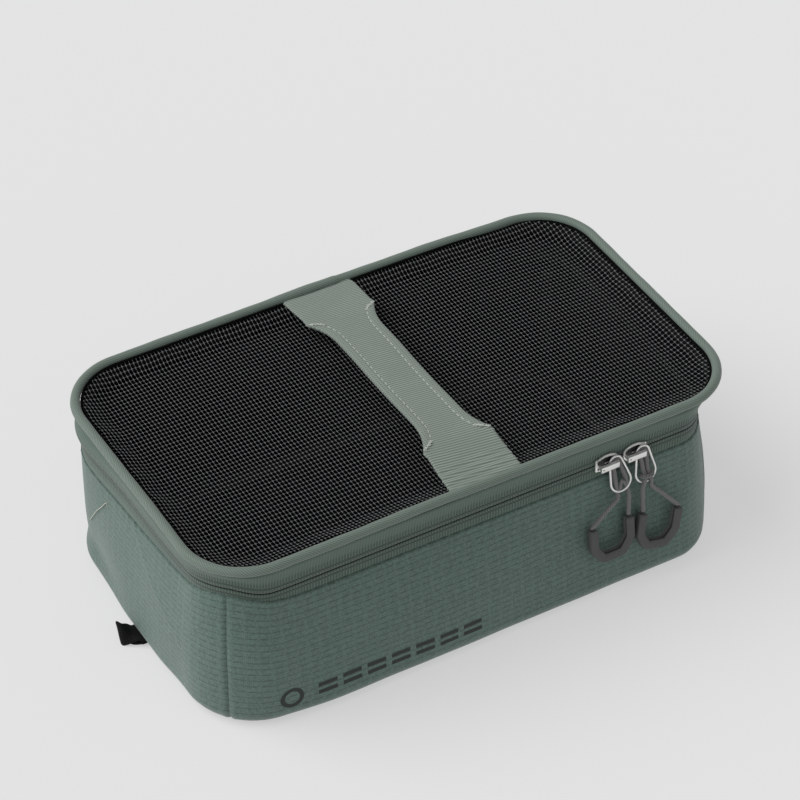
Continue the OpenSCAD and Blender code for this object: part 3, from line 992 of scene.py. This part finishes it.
def edge_distance(x, y, outward):
    """How far inside the rounded rectangle at that offset from the rim line a point is."""
    half_l, half_w = RIM_L / 2 + outward, RIM_W / 2 + outward
    r = RIM_R + outward
    qx, qy = np.abs(x) - (half_l - r), np.abs(y) - (half_w - r)
    outside = np.hypot(np.maximum(qx, 0), np.maximum(qy, 0))
    return r - outside - np.minimum(np.maximum(qx, qy), 0)


def mesh_height(x, y):
    inside = edge_distance(x, y, -1.6)
    slope = smooth(inside, 0, 15)
    sag = 0.9 * np.cos(np.clip(x / 150, -1, 1) * math.pi / 2) * np.cos(np.clip(y / 87, -1, 1) * math.pi / 2)
    waves = 0.3 * np.sin(x / 21 + y / 37) + 0.22 * np.sin(y / 12 - x / 60)
    return RIM_H - 0.5 - rim_drop(x) - 4.2 * slope - slope * (sag + waves)


def build_mesh(material):
    """A knitted net of two crossing sets of yarns, sewn in under the piping and dipping inside it."""
    pitch_x, pitch_y = 2.05, 2.75
    inner = -1.6
    parts_p, parts_f, knots, start = [], [], [], 0
    for along_x in (True, False):
        pitch, step = (pitch_y, pitch_x) if along_x else (pitch_x, pitch_y)
        reach = RIM_W / 2 if along_x else RIM_L / 2
        for at in np.arange(-int(reach / pitch) - 0.5, int(reach / pitch) + 1) * pitch:
            k = np.arange(-320, 321)
            run = (k / 2 + 0.5) * step
            x, y = (run, np.full(run.shape, at)) if along_x else (np.full(run.shape, at), run)
            inside = edge_distance(x, y, inner) > 0
            if inside.sum() < 4:
                continue
            x, y, k = x[inside], y[inside], k[inside]
            knot = 1.0 * (k % 2 == 0)
            edge = np.exp(-edge_distance(x, y, inner) / 9.0)
            dx = 0.45 * edge * np.sin(y / 3.1 + x / 8.0) + 0.1 * np.sin(y / 4.4)
            dy = 0.45 * edge * np.sin(x / 3.7 + y / 6.0) + 0.1 * np.sin(x / 5.2)
            z = mesh_height(x, y) + (0.12 if along_x else -0.02)
            line = np.stack([x + dx, y + dy, z], -1)
            half = np.where(knot > 0, 0.245, 0.12)
            thick = 0.14
            side = np.array([0, 1.0, 0]) if along_x else np.array([1.0, 0, 0])
            up = np.array([0, 0, 1.0])
            corner = [side[None] * half[:, None], up[None] * thick * np.ones((len(k), 1))]
            ring = np.stack([line + corner[0], line + corner[1], line - corner[0], line - corner[1]], 1)
            parts_p.append(ring.reshape(-1, 3))
            parts_f.append(grid_faces(len(k), 4, start, close_cols=True, flip=along_x))
            knots.append(np.repeat(knot, 4))
            start += 4 * len(k)
    obj = make("mesh_net", np.vstack(parts_p), np.vstack(parts_f), [material], "lid")
    # knot marks the crossings: wider there, and given a painted glint by mesh_yarn.
    give_points(obj, "knot", np.concatenate(knots))
    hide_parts("mesh_panel")


# ---------- handle ----------


HANDLE_Y = (-84.6, -78, -69, -61, -50, -33, -12, 4.5, 23, 45, 61, 73, 84.6)
HANDLE_Z = (105.4, 106.1, 107.3, 109.6, 110.0, 109.6, 108.4, 108.2, 108.6, 107.9, 106.8, 105.6, 104.1)
FLARE_FROM, FLARE_TO = 38.0, 59.0
STITCH_IN = 4.6         # the stitch line, in from the edge


def handle_half_width(y):
    t = np.clip((np.abs(y) - FLARE_FROM) / (FLARE_TO - FLARE_FROM), 0, 1)
    corner = 20.0 - 0.6 * smooth(np.abs(y), 59, 62) * (1 - smooth(np.abs(y), 62, 80))
    return 13.5 + (corner - 13.5) * t**2.1


def handle_top(q, y):
    """Height of the handle's upper face; q is -1 to 1 across it."""
    z = np.interp(y, HANDLE_Y, HANDLE_Z)
    for shift in (2.0, 4.0, 6.0):
        z = z + np.interp(y - shift, HANDLE_Y, HANDLE_Z) + np.interp(y + shift, HANDLE_Y, HANDLE_Z)
    z = z / 7
    w = handle_half_width(y)
    inward = w * (1 - np.abs(q))
    fold = 1 - smooth(np.abs(y), 54, 60)
    z = z + 0.35 * fold * (1 - smooth(inward, 4.0, 4.9)) - 0.25 * fold * bump(inward, 4.6, 0.6)
    z = z - 0.5 * np.exp(-inward / 0.5)
    ridges = 0.3 * np.cos((y + 84) * 2 * math.pi / 4.2) * (1 - smooth(np.abs(y + 77), 4, 9))
    z = z + ridges + 0.25 * q * np.sin(y / 24.0) + 0.3 * (1 - q**2) * np.sin(y / 31.0 + 1)
    return z - 0.5 * smooth(np.abs(y), 80, 85)


def build_handle(webbing, stitch):
    """The webbing handle, its stitches along the folded borders and the tacks where it narrows."""
    y = np.linspace(-85.2, 85.2, 240)
    q = np.r_[-1, -0.985, -0.96, np.linspace(-0.92, 0.92, 35), 0.96, 0.985, 1]
    yy, qq = np.meshgrid(y, q, indexing="ij")
    w = handle_half_width(yy)
    fray = 0.18 * np.sin(yy * 2.7) * (np.abs(qq) > 0.97)
    x = qq * w + fray
    z = handle_top(qq, yy)
    top = np.stack([x, yy, z], -1)
    inward = w * (1 - np.abs(qq))
    fold = 1 - smooth(np.abs(yy), 54, 60)
    thick = 0.6 + 0.7 * smooth(inward, 0, 0.8) + 0.5 * fold * (1 - smooth(inward, 4, 5))
    under = np.stack([x, yy, z - thick], -1)
    points, faces, uv, _ = shell(top, under, np.stack([x, yy], -1))
    obj = make("handle", points, faces[:, ::-1], [webbing], "lid", uv)
    border = (fold * (1 - smooth(inward, 4.2, 4.9))).ravel()
    give_points(obj, "fold", np.r_[border, border])
    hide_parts("handle_webbing")

    centres, along = [], []
    ys = np.arange(-53.5, 53.6, 3.6)
    for sign in (-1, 1):
        wide = handle_half_width(ys)
        q = sign * (1 - STITCH_IN / wide)
        p = np.stack([q * wide, ys, handle_top(q, ys) + 0.12], -1)
        centres.append(p)
        along.append(np.gradient(p, axis=0))
    centres, along = np.vstack(centres), np.vstack(along)
    normal = np.tile([0.0, 0.0, 1.0], (len(centres), 1))
    obj = make("handle_stitches", *dashes(centres, along, normal, 2.6, 0.62, 0.45)[:2], [stitch], "lid")

    centres, along = [], []
    for sx in (-1, 1):
        for sy in (-1, 1):
            for k in range(16):
                t = k / 15
                yk = sy * (53.5 + 4.2 * t + 0.5 * math.sin(k * 2.4))
                wide = float(handle_half_width(yk))
                reach = wide - STITCH_IN + 4.0 * t**1.3
                q = sx * reach / wide
                centres.append((sx * reach, yk, float(handle_top(q, yk)) + 0.25))
                along.append((sx * 1.0, sy * (0.9 if k % 2 else -0.5), 0.05))
    normal = np.tile([0.0, 0.0, 1.0], (len(centres), 1))
    points, faces, _ = dashes(centres, along, normal, 2.2, 0.65, 0.7)
    obj = make("handle_tack_stitches", points, faces, [stitch], "lid")
    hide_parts("handle_bartacks")


# ---------- sliders and pulls ----------


def slider_plate(x0, nose, front, back, raised):
    """One plate of a slider, its rounded nose towards nose (1 or -1). Points, faces, uv, recess marks."""
    half = [(-7.0, 3.5), (-6.3, 3.9), (-5.6, 3.7), (-2.6, 5.0), (-1.9, 5.2), (0.4, 5.2)]
    half += [(0.4 + 6.4 * math.sin(a), 5.2 * math.cos(a) ** 0.9) for a in np.radians(np.arange(12, 89, 11))]
    outline = np.array(half + [(6.9, 0.0)] + [(x, -z) for x, z in half[::-1]])
    out = -1 if front < back else 1
    rows = [(0.0, back), (0.0, front - out * 0.25), (0.22, front)]
    if raised:
        rows += [(1.1, front), (1.3, front - out * 0.45)]
    points = []
    for inset, y in rows:
        p = outline * np.array([1 - inset / 7.0, 1 - inset / 5.2])
        points.append(np.stack([x0 + nose * p[:, 0], np.full(len(p), y), SLIT_H + p[:, 1]], -1))
    n = len(outline)
    faces = list(grid_faces(len(rows), n, close_cols=True, flip=nose * out > 0))
    marks = [0] * len(faces)
    cap = list(range((len(rows) - 1) * n, len(rows) * n))
    faces.append(cap if nose * out > 0 else cap[::-1])
    marks.append(1 if raised else 0)
    bottom = list(range(n))
    faces.append(bottom[::-1] if nose * out > 0 else bottom)
    marks.append(0)
    points = np.vstack(points)
    return points, faces, points[:, [0, 2]], marks


def build_slider(side, bright, dark):
    x0 = SLIDER_X[side]
    nose = 1 if side == "left" else -1
    body = f"slider_{side}"
    front = slider_plate(x0, nose, PLATE_FRONT - 0.15, PLATE_FRONT + PLATE_T, True)
    back = slider_plate(x0, nose, PLATE_BACK + PLATE_T, PLATE_BACK, False)
    web = rounded_box((x0, (PLATE_FRONT + PLATE_BACK) / 2 + 0.4, SLIT_H), (3.0, 5.0, 0.6), 0.1)
    points, faces, uv = join([front[:3], back[:3], web])
    marks = front[3] + back[3] + [0] * len(web[1])
    obj = make(f"{body}_body", points, faces, [bright, dark], body, uv, marks, smooth_shade=False)
    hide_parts(f"slider_body_{side}")

    middle = x0 - 0.7
    bar = rounded_box((middle, -88.35, SLIT_H), (10.8, 1.9, 3.5), 0.45)
    feet = [
        rounded_box((middle + sign * 4.7, -86.3, SLIT_H), (1.2, 2.8, 1.6), 0.2) for sign in (-1, 1)
    ]
    dimple = dashes([(middle - 4.2, -89.28, SLIT_H + 0.1)], [(1, 0, 0)], [(0, -1, 0)], 1.0, 0.9, 0.2)
    points, faces, uv = join([bar, *feet, dimple])
    marks = [0] * (len(faces) - len(dimple[1])) + [1] * len(dimple[1])
    obj = make(f"{body}_crown", points, faces, [bright, dark], body, uv, marks)
    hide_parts(f"slider_crown_{side}")


def ring_to_row(points, side):
    return turned(points, -RING_LEAN, -RING_TILT[side]) + np.array(RING_AT[side])


def pull_hinge(side):
    return ring_to_row([(0.0, 0.0, -RING_SPAN - RING_LOW_R)], side)[0]


def pull_to_row(points, side):
    return turned(points, -PULL_LEAN) + pull_hinge(side)


def grip_to_pull(points, side):
    """From the grip's own frame, its origin midway between the tops of its arms."""
    shift = GRIP_X[side] - pull_hinge(side)[0]
    return turned(points, 0.0, GRIP_TURN[side]) + np.array([shift, 0.0, -GRIP_TOP[side]])


def build_ring(side, bright):
    slope = math.asin((RING_LOW_R - RING_TOP_R) / RING_SPAN)
    top = np.linspace(slope, math.pi - slope, 24)
    low = np.linspace(math.pi - slope, 2 * math.pi + slope, 36)
    line = [(RING_TOP_R * math.cos(a), 0, RING_TOP_R * math.sin(a)) for a in top]
    line += [(RING_LOW_R * math.cos(a), 0, RING_LOW_R * math.sin(a) - RING_SPAN) for a in low]
    line = resample(line + line[:1], 0.7)[:-1]
    points, faces, uv = tube(ring_to_row(line, side), RING_WIRE_R, 14, closed=True)
    obj = make(f"ring_{side}_wire", points, faces, [bright], f"ring_{side}", uv)
    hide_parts(f"pull_ring_{side}")


def build_cord(side, material):
    """The pull's cord: up from one arm of the grip, through the ring, round the crown's foot and back.

    Inside the ring it is laid out in the ring's frame, and below the ring's wire in the pull's frame.
    """
    behind = side == "left"
    spread_low = 2.9 if behind else 1.3
    depth = 1.15 if behind else -1.45

    def half(sign):
        reach = sign * (GRIP_W - ARM_W) / 2
        socket = grip_to_pull([(reach, 0.0, -2.4), (reach, 0.0, 0.0), (reach, 0.0, 1.3)], side)
        start = np.array([sign * (3.3 if behind else 2.7), 0.0 if behind else -0.2, -3.6])
        legs = [start + share * (socket[2] - start) for share in (0.7, 0.35, 0.0)]
        ring = [
            (sign * (3.0 if behind else 2.0), depth, -17.0),
            (sign * spread_low, depth * (0.3 if behind else 1.0), -14.2),
            (sign * (2.9 if behind else 1.3), -0.2, -10.0),
            (sign * (2.3 if behind else 1.5), 0.0, -5.0),
            (sign * 1.95, 0.15, -0.6),
            (sign * 1.55, 0.1, 1.3),
        ]
        legs = [*socket, *legs]
        return np.vstack([pull_to_row(legs, side), ring_to_row(ring, side)])

    line = np.vstack([half(-1), ring_to_row([(0.0, 0.1, 2.15)], side), half(1)[::-1]])
    line = curve_through(line, 0.45)
    top = ring_to_row([(0.0, 0.1, 2.15)], side)[0]
    squeezed = np.exp(-((np.linalg.norm(line - top, axis=1) / 1.9) ** 2))
    wire = np.exp(-((np.linalg.norm(line - pull_hinge(side), axis=1) / 3.2) ** 2))
    radius = CORD_R - 0.42 * squeezed - 0.2 * wire
    parts = [tube(line, radius, 12)]
    if behind:
        knot = [
            (-2.2, 1.0, -16.4), (-1.6, -0.9, -14.9), (0, -1.3, -11.0),
            (1.6, -0.9, -14.9), (2.2, 1.0, -16.4),
        ]
        parts.append(tube(ring_to_row(curve_through(knot, 0.4), side), 0.8, 10))
    else:
        angle = np.linspace(0, 2 * math.pi, 40, endpoint=False)
        rise = -13.2 + 0.25 * np.sin(2 * angle)
        collar = np.stack([2.9 * np.cos(angle), 2.0 * np.sin(angle) - 1.1, rise], -1)
        parts.append(tube(ring_to_row(collar, side), 1.15, 12, closed=True))
    points, faces, uv = join(parts)
    obj = make(f"pull_cord_{side}", points, faces, [material], None, uv)
    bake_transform(obj)
    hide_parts(f"pull_cord_hitch_{side}", f"pull_cord_legs_{side}")


def build_grip(side, rubber, dark):
    """Moulded U of grey rubber: square-cut outside, grooved inside, with a dark socket in each arm."""
    half = (GRIP_W - ARM_W) / 2
    low = -GRIP_H + ARM_W / 2
    path = [(-half, 0), (-half, -9.0), (-half + 0.4, -12.2), (-half + 4.4, low + 0.9), (-half + 6.6, low)]
    path += [(-x, z) for x, z in path[::-1]]
    line = np.array([(x, 0.0, z) for x, z in path])
    line = resample(curve_through(line, 0.5), 0.6)
    tangent = unit(np.gradient(line, axis=0))
    across = np.cross(tangent, [0.0, 1.0, 0.0])
    w, d = ARM_W / 2, GRIP_T / 2
    section = [
        (-w, 0.55 * d), (-0.75 * w, d), (0.2 * w, d), (0.85 * w, 0.8 * d), (w, 0.55 * d),
        (0.62 * w, 0.3 * d), (0.62 * w, -0.3 * d),
        (w, -0.55 * d), (0.85 * w, -0.8 * d), (0.2 * w, -d), (-0.75 * w, -d), (-w, -0.55 * d),
    ]
    inner_side = 1 if (across[len(line) // 2] @ np.array([0, 0, 1.0])) > 0 else -1
    fine_section = []
    for (a0, b0), (a1, b1) in zip(section, section[1:] + section[:1]):
        for t in (0.12, 0.5, 0.88):
            fine_section.append((a0 + (a1 - a0) * t, b0 + (b1 - b0) * t))
    section = np.array(fine_section)
    ends = np.array([0.8, 0.95])
    taper = np.r_[ends, np.ones(len(line) - 4), ends[::-1]]
    grid = (
        line[:, None]
        + (section[None, :, :1] * taper[:, None, None] * inner_side) * across[:, None]
        + section[None, :, 1:] * taper[:, None, None] * np.array([0, 1.0, 0])[None, None]
    )
    n = len(section)
    faces = list(grid_faces(len(line), n, close_cols=True, flip=inner_side < 0))
    marks = [1 if 15 <= k % n <= 20 else 0 for k in range(len(faces))]
    first, last = list(range(n)), list(range((len(line) - 1) * n, len(line) * n))
    faces += [first if inner_side > 0 else first[::-1], last[::-1] if inner_side > 0 else last]
    marks += [0, 0]
    grip = (grid.reshape(-1, 3), faces, grid.reshape(-1, 3)[:, [0, 2]])
    collars = [
        tube([(sign * half, 0, -0.9), (sign * half, 0, 0.35)], [1.75, 1.6], 14) for sign in (-1, 1)
    ]
    points, faces, uv = join([grip, *collars])
    marks += [1] * (len(faces) - len(marks))
    points = pull_to_row(grip_to_pull(points - np.array([0, 0, 0.1]), side), side)
    obj = make(f"grip_{side}", points, faces, [rubber, dark], f"pull_{side}", uv, marks)
    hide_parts(f"pull_grip_{side}")


def build_side_loop(material):
    """A short fold of black webbing standing out from the bottom of the left side, twisted on edge."""
    hinge, middle, width = -152.9, -2.0, 13.0
    half = [(2.4, 0.9), (0.0, 1.0), (-1.8, 1.6), (-3.8, 1.8), (-6.0, 2.0), (-7.4, 1.7), (-8.2, 0.8)]
    line = half + [(x, -z) for x, z in half[::-1]]
    line = curve_through([(x, 0.0, z) for x, z in line], 0.5)
    tangent = np.gradient(line, axis=0)
    normal = unit(np.stack([-tangent[:, 2], 0 * tangent[:, 0], tangent[:, 0]], -1))
    across = np.linspace(-0.5, 0.5, 17)
    outer, inner = [], []
    out = np.clip(-line[:, 0] / 8, 0, 1)
    angle = math.radians(62) * smooth(out, 0.05, 0.95)
    wide = width - 2.5 * np.sin(out * math.pi)
    rise = 3.0 + 2.6 * out
    for c in across:
        taper = 0.6 if abs(c) < 0.45 else 0.35
        for face, sign in ((outer, 1), (inner, -1)):
            p = line + normal * taper * sign
            y, z = c * wide, p[:, 2] + 0.5 * out * math.sin(c * 5.0)
            turned_y = y * np.cos(angle) - z * np.sin(angle)
            turned_z = y * np.sin(angle) + z * np.cos(angle)
            x = np.full(len(line), hinge) + p[:, 0]
            face.append(np.stack([x, middle + 3.0 * out + turned_y, rise + turned_z], -1))
    outer, inner = np.stack(outer, 1), np.stack(inner, 1)
    d = np.arange(len(line)) * 0.5
    uv = crossed(d, across * width)
    points, faces, uv, _ = shell(outer, inner, uv)
    obj = make("webbing_loop", points, faces, [material], "side_loop", uv)
    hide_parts("side_loop")


# ---------- stage ----------


def build_stage():
    """Camera, a pale floor with a faint shadow, a broad key light from the back left and a weak fill."""
    eye = Vector((-0.62789, -1.08412, 1.16516))
    aim = Vector((0.02509, 0.0414, 0.050))
    data = bpy.data.cameras.new("camera")
    data.lens, data.sensor_width = 147.3, 36.0
    camera = bpy.data.objects.new("camera", data)
    camera.location = eye
    camera.rotation_mode = "QUATERNION"
    camera.rotation_quaternion = (aim - eye).to_track_quat("-Z", "Y")
    bpy.context.scene.collection.objects.link(camera)
    bpy.context.scene.camera = camera

    floor_level = 0.767
    own_light, albedo = 0.478, 0.30
    material = bpy.data.materials.new("floor")
    material.use_nodes = True
    shader = material.node_tree.nodes["Principled BSDF"]
    shader.inputs["Base Color"].default_value = (albedo,) * 3 + (1,)
    shader.inputs["Roughness"].default_value = 1.0
    shader.inputs["Specular IOR Level"].default_value = 0.0
    shader.inputs["Emission Color"].default_value = (1, 1, 1, 1)
    shader.inputs["Emission Strength"].default_value = own_light
    size = 20000.0
    corners = [(-size, -size, -0.05), (size, -size, -0.05), (size, size, -0.05), (-size, size, -0.05)]
    floor = make("floor", corners, [(0, 1, 2, 3)], [material])

    world = bpy.data.worlds.new("world")
    bpy.context.scene.world = world
    world.use_nodes = True
    tree = world.node_tree
    soft = tree.nodes["Background"]
    soft.inputs["Color"].default_value = (1.0, 1.0, 1.0, 1)
    soft.inputs["Strength"].default_value = 0.36
    seen = tree.nodes.new("ShaderNodeBackground")
    seen.inputs["Color"].default_value = (floor_level,) * 3 + (1,)
    pick = tree.nodes.new("ShaderNodeMixShader")
    path = tree.nodes.new("ShaderNodeLightPath")
    tree.links.new(path.outputs["Is Camera Ray"], pick.inputs[0])
    tree.links.new(soft.outputs[0], pick.inputs[1])
    tree.links.new(seen.outputs[0], pick.inputs[2])
    tree.links.new(pick.outputs[0], tree.nodes["World Output"].inputs["Surface"])

    lights = (
        ("key", (-0.62, 0.30, 0.72), 2.4, 55, (0.99, 1.0, 1.0)),
        ("fill", (-0.2, -0.8, 0.6), 0.35, 90, (1.0, 1.0, 1.0)),
    )
    for name, towards, strength, spread, colour in lights:
        data = bpy.data.lights.new(name, "SUN")
        data.energy, data.angle, data.color = strength, math.radians(spread), colour
        lamp = bpy.data.objects.new(name, data)
        lamp.rotation_mode = "QUATERNION"
        lamp.rotation_quaternion = Vector(towards).to_track_quat("Z", "Y")
        bpy.context.scene.collection.objects.link(lamp)
    bpy.context.scene.view_settings.view_transform = "Standard"
    bpy.context.scene.view_settings.look = "None"


def main():
    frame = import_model()
    fabric, coated_inside_shade, tape, coil = wall_fabric(), coated_back_and_shade(), zipper_tape(), zipper_coil()
    binding, webbing = black_binding(), handle_webbing()
    light_thread = yarn("light_thread", srgb(150, 156, 149), srgb(196, 200, 193))
    cream_thread = yarn("cream_thread", srgb(170, 172, 160), srgb(205, 206, 192))
    bright = metal("bright_metal", srgb(214, 214, 212), srgb(244, 244, 242), 0.32)
    dark = metal("dark_metal", srgb(44, 44, 45), srgb(84, 84, 85), 0.4)
    cord, rubber = pull_cord(), grip_rubber()
    dark_rubber = yarn("dark_rubber", srgb(30, 30, 31), srgb(42, 42, 43))
    build_walls([fabric, coated_inside_shade])
    build_base([fabric, coated_inside_shade])
    build_inner_bindings(binding)
    build_body_stitches(yarn("green_thread", srgb(66, 79, 73), srgb(84, 97, 90)))
    build_print(dark_print())
    build_thread_tail(cream_thread)
    build_crease(yarn("light_crease_thread", srgb(128, 146, 138), srgb(150, 167, 160)))
    build_zipper(tape, coated_inside_shade, coil)
    build_back_hinge(fabric, coated_inside_shade)
    build_piping(piping_fabric(), cream_thread)
    build_mesh(mesh_yarn())
    build_handle(webbing, light_thread)
    for side in ("left", "right"):
        build_slider(side, bright, dark)
        build_ring(side, bright)
        build_cord(side, cord)
        build_grip(side, rubber, dark_rubber)
    build_side_loop(black_webbing())
    kept = {
        "zipper_end_tab_left": coil,
        "zipper_end_tab_right": coil,
        "rim_seam_binding": binding,
    }
    for name, material in kept.items():
        node = frame["nodes"][name]
        node.data.materials.clear()
        node.data.materials.append(material)
    build_stage()


main()
